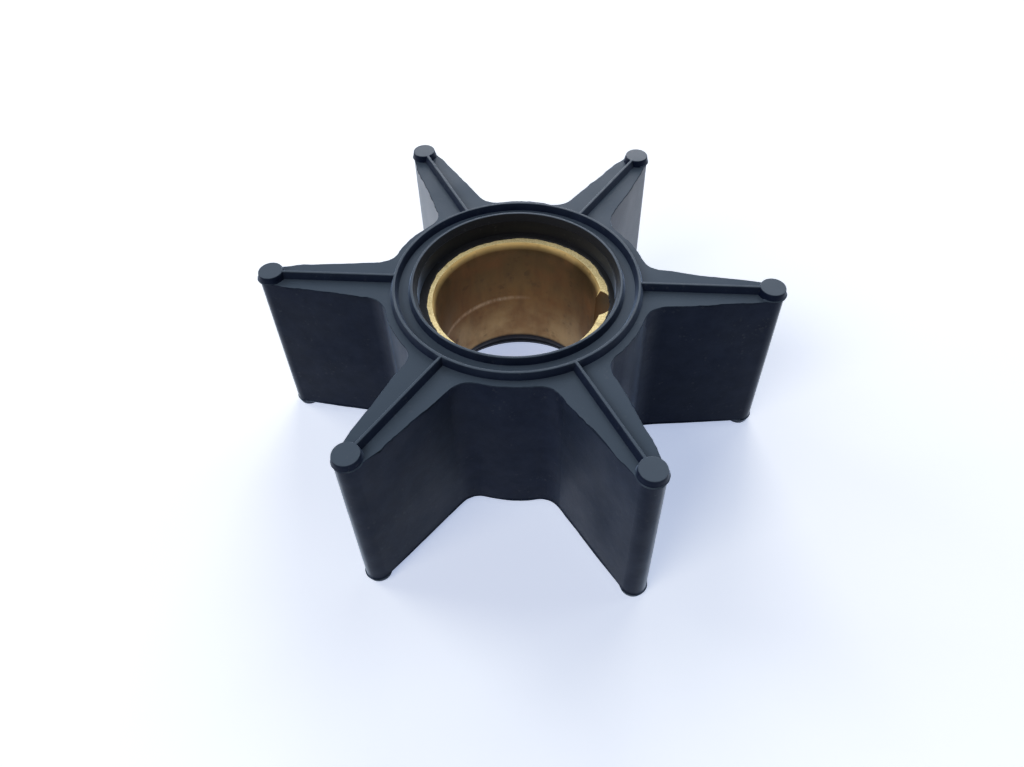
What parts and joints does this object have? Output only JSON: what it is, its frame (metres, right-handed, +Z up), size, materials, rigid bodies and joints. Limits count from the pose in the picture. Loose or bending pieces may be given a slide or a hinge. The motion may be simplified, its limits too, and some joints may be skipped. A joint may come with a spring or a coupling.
{
  "type": "rubber pump impeller",
  "caption": "Flexible rubber pump impeller: straight radial vanes with beaded tips round a keyed brass bush.",
  "frame": {"origin": "on the bore axis, in the plane of the lower ridge tops that the impeller rests on", "axes": "+Z up along the bore axis, +X along the vane nearest the keyway"},
  "size_m": [0.066, 0.0576, 0.025],
  "materials": {
    "rubber": "satin blue-black moulded rubber",
    "brass": "turned brass"
  },
  "bodies": {
    "root": {"rubber_body": "rubber", "brass_bush": "brass"}
  },
  "joints": []
}
